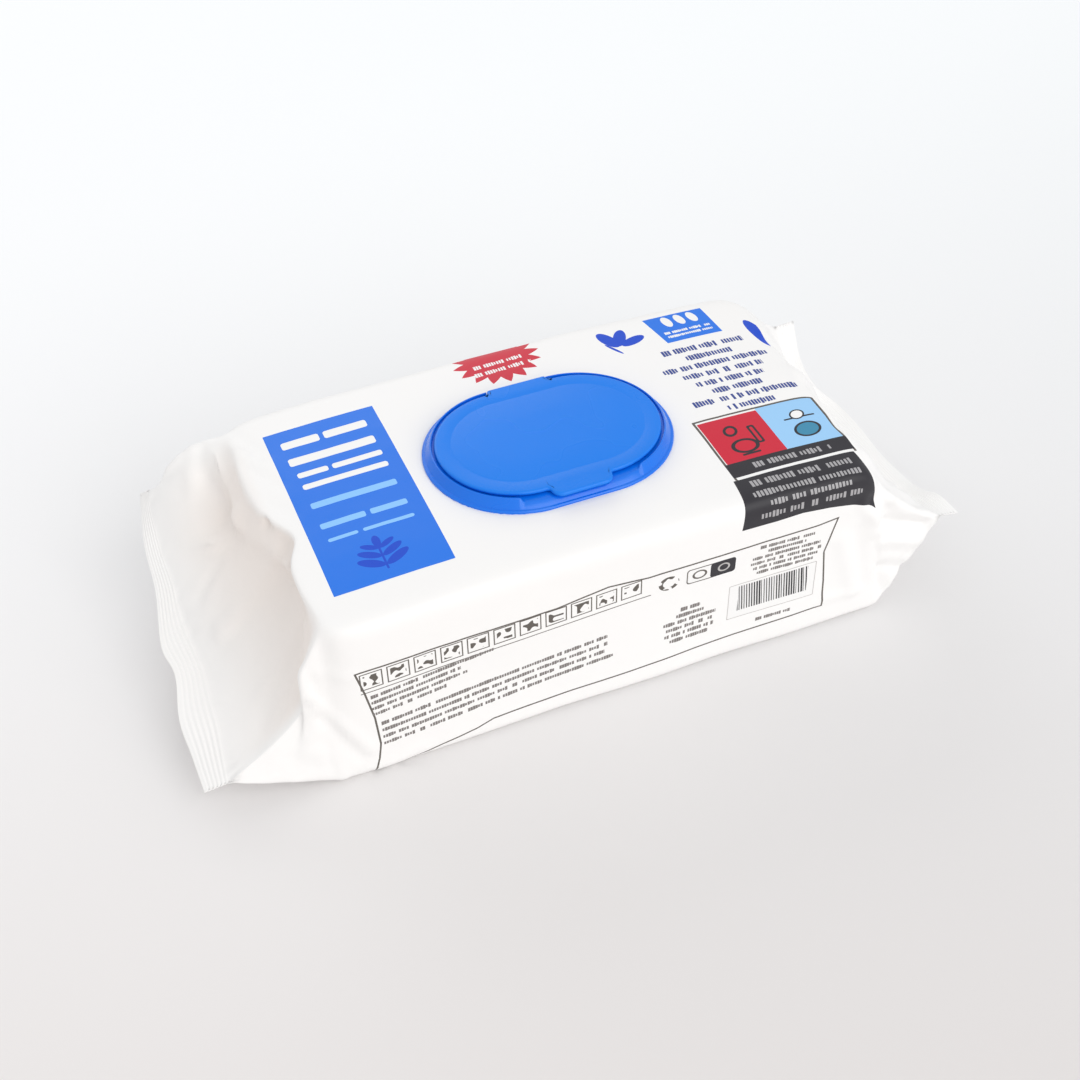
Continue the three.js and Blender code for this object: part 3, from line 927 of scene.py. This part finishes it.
def cover_outline():
    """The cover's edge from above, anticlockwise from the middle of the front."""
    corners = [(0, -tab_reach, 0), (9.6, -tab_reach, 3.4), (10.5, -cover_radius - 0.3, 0.5)]
    corners += [(11.4, -cover_radius + 0.1, 0.4), (cover_straight, -cover_radius, 0)]
    for k in range(1, 64):
        a = -math.pi / 2 + math.pi * k / 64
        corners.append((cover_straight + cover_radius * math.cos(a), cover_radius * math.sin(a), 0))
    corners += [(cover_straight, cover_radius, 0), (11.6, cover_radius - 0.1, 0.3)]
    corners += [(10.7, cover_radius + 0.7, 0.5), (10.5, strip_reach, 0.9), (0, strip_reach, 0)]
    right = np.array(rounded_path(corners, 6))
    left = right[-2:0:-1] * (-1, 1)
    return np.concatenate([right, left])


def evenly(path, count):
    """The closed path again, as evenly spaced points."""
    closed = np.concatenate([path, path[:1]])
    run = np.append(0, np.cumsum(np.linalg.norm(np.diff(closed, axis=0), axis=1)))
    at = np.arange(count) / count * run[-1]
    return np.stack([np.interp(at, run, closed[:, k]) for k in range(2)], axis=1)


def inset(path, distance):
    along = np.roll(path, -1, axis=0) - np.roll(path, 1, axis=0)
    along /= np.linalg.norm(along, axis=1, keepdims=True)
    return path + np.stack([-along[:, 1], along[:, 0]], axis=1) * distance


edge = evenly(cover_outline(), 720)


def oval_ring(radius):
    """The points of a long oval in the directions of the cover's edge points."""
    middle_x = np.clip(edge[:, 0], -cover_straight, cover_straight)
    on_middle = np.stack([middle_x, np.zeros_like(middle_x)], axis=1)
    out = edge - on_middle
    out /= np.linalg.norm(out, axis=1, keepdims=True)
    return on_middle + out * radius


cover_rings = []


def cover_ring(outline, height):
    z = np.full(len(outline), height)
    cover_rings.append(np.column_stack([outline + lid_centre[:2], z]))


cover_ring(oval_ring(8.0), cover_base + 0.1)
cover_ring(oval_ring(19.4), cover_base + 0.1)
for step in range(9):
    a = math.pi * step / 8
    cover_ring(oval_ring(19.8 - 0.4 * math.cos(a)), cover_base - 1.1 * math.sin(a) ** 0.7)
cover_ring(oval_ring(24.0), cover_base)
cover_ring(inset(edge, 0.35), cover_base + 0.02)
cover_ring(inset(edge, 0.1), cover_base + 0.1)
for step in range(8):
    a = math.pi / 2 * step / 7
    dip = 0.75 * (1 - math.sin(a))
    cover_ring(inset(edge, 0.75 * (1 - math.cos(a))), cover_top - dip)
cover_ring(inset(edge, 1.1), cover_top)
pressed_line = ((24.6, 0), (21.2, 0), (20.9, 0.06), (20.5, 0.07), (20.2, 0.03), (19.9, 0), (8, 0))
for radius, dip in pressed_line:
    cover_ring(oval_ring(radius), cover_top - dip)
cover_plastic = lid_plastic("cover_plastic", srgb(26, 126, 234), 0.28)
cover_mesh = mesh_of_rings("lid_cover_skin", cover_rings, True, True)
cover_skin = add_piece("lid_cover_skin", cover_mesh, cover_plastic)
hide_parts("lid_cover")
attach(cover_skin, "lid")

# ------------------------------------------------------------------ hinge web
# The living hinge: a thin band of the same plastic that joins the wall on the
# frame to the cover's strip.

web_y = lid_centre[1] + strip_reach - 0.25
web_half_width, web_half_thickness = 10.2, 0.14
web_corners = [(-1, -1), (1, -1), (1, 1), (-1, 1)]
web_rings = []
for height in np.linspace(71.0, 71.9, 13):
    web_rings.append(np.array([
        (lid_centre[0] + x * web_half_width, web_y + y * web_half_thickness, height)
        for x, y in web_corners
    ]))
web = add_piece("hinge_web", mesh_of_rings("hinge_web", web_rings, True, True), cover_plastic)
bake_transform(web)

# ------------------------------------------------------------------ peel seal
# The thin foil label under the cover that keeps the wipes moist until it is
# peeled off by its small pull tab. It is white, slightly puckered, and glossy.

seal_finish = Finish("peel_foil", Roughness=0.24, Specular_IOR_Level=0.6)
seal_x, seal_y, _ = seal_finish.split(seal_finish.place())
seal_x, seal_y = seal_x / MM - lid_centre[0], seal_y / MM - lid_centre[1]
pucker = seal_finish.grain(140.0, detail=3.0)
# Painted shade: the foil is painted greyer where its puckers dip, by the same noise that bumps it.
foil_with_painted_shade = seal_finish.mix(pucker, srgb(228, 230, 234), srgb(244, 245, 246))
arrow_half = (31.0 - seal_x) * 0.55
arrow = seal_x.between(27.6, 31.0) * (abs(seal_y) < arrow_half)
seal_finish.set("Base Color", seal_finish.mix(arrow, foil_with_painted_shade, srgb(60, 140, 235)))
seal_finish.bump(pucker, 0.0006, strength=0.6)
peel_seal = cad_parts["peel_seal"]
peel_seal.data.materials.clear()
peel_seal.data.materials.append(seal_finish.material)
